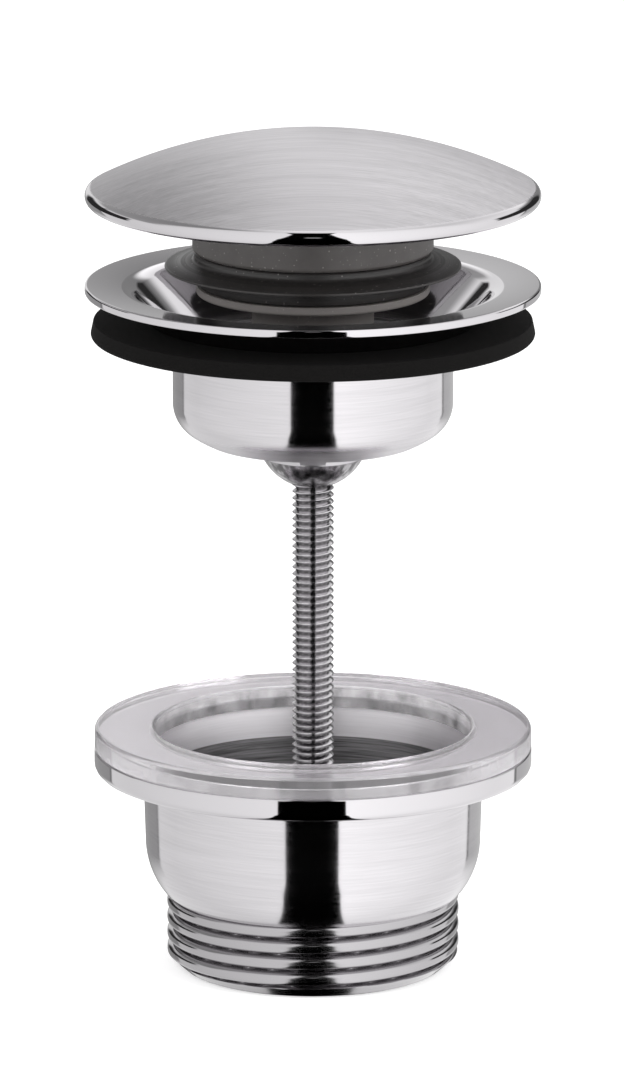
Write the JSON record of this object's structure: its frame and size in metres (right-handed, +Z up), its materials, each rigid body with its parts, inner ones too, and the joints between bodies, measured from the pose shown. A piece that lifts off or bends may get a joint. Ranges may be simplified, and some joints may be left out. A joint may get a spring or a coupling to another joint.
{
  "type": "basin drain plug",
  "caption": "Push-open basin drain plug: domed cap, lip seal, dished flange cup and gasket on an M6 centre screw, above a clear washer and a G 1 1/4 tail.",
  "frame": {"origin": "centre of the tail's lower end, on which the part stands", "axes": "+Z up along the centre screw, from the threaded outlet to the cap; the arms of the tail's spider lie along X and Y"},
  "size_m": [0.0644, 0.0642, 0.1201],
  "materials": {
    "nickel": "brushed nickel plating",
    "dark_chrome": "polished",
    "stainless": "machined",
    "black_rubber": "matt",
    "clear_rubber": "frosted",
    "grey_plastic": "satin"
  },
  "bodies": {
    "tail": {"tail_body": "nickel", "clear_washer": "clear_rubber"},
    "waste": {"waste_cup": "nickel", "flange_gasket": "black_rubber"},
    "screw": {"centre_screw": "stainless", "dome_nut": "dark_chrome", "thrust_washer": "stainless", "latch_base": "stainless", "latch_sleeve": "grey_plastic", "latch_spring": "stainless"},
    "plug": {"plunger": "grey_plastic", "rotor": "grey_plastic", "seal_carrier": "grey_plastic", "lip_seal": "black_rubber", "cap_stud": "stainless", "plug_cap": "nickel"}
  },
  "joints": [
    {"name": "clamp_slide", "type": "slide", "parent": "tail", "child": "waste", "axis": [0, 0, 1], "range_m": [-0.05, 0]},
    {"name": "screw_turn", "type": "hinge", "parent": "waste", "child": "screw", "pos_m": [0, 0, 0.05], "axis": [0, 0, 1], "range_deg": [-18000, 0]},
    {"name": "plug_press", "type": "slide", "parent": "screw", "child": "plug", "axis": [0, 0, 1], "range_m": [-0.0078, 0], "stiffness_N_per_m": 400, "springref_m": 0.02, "deforming": ["latch_spring"]}
  ],
  "couplings": [
    {"joint": "screw_turn", "follows": "clamp_slide", "rad_per_m": 6283.2}
  ]
}
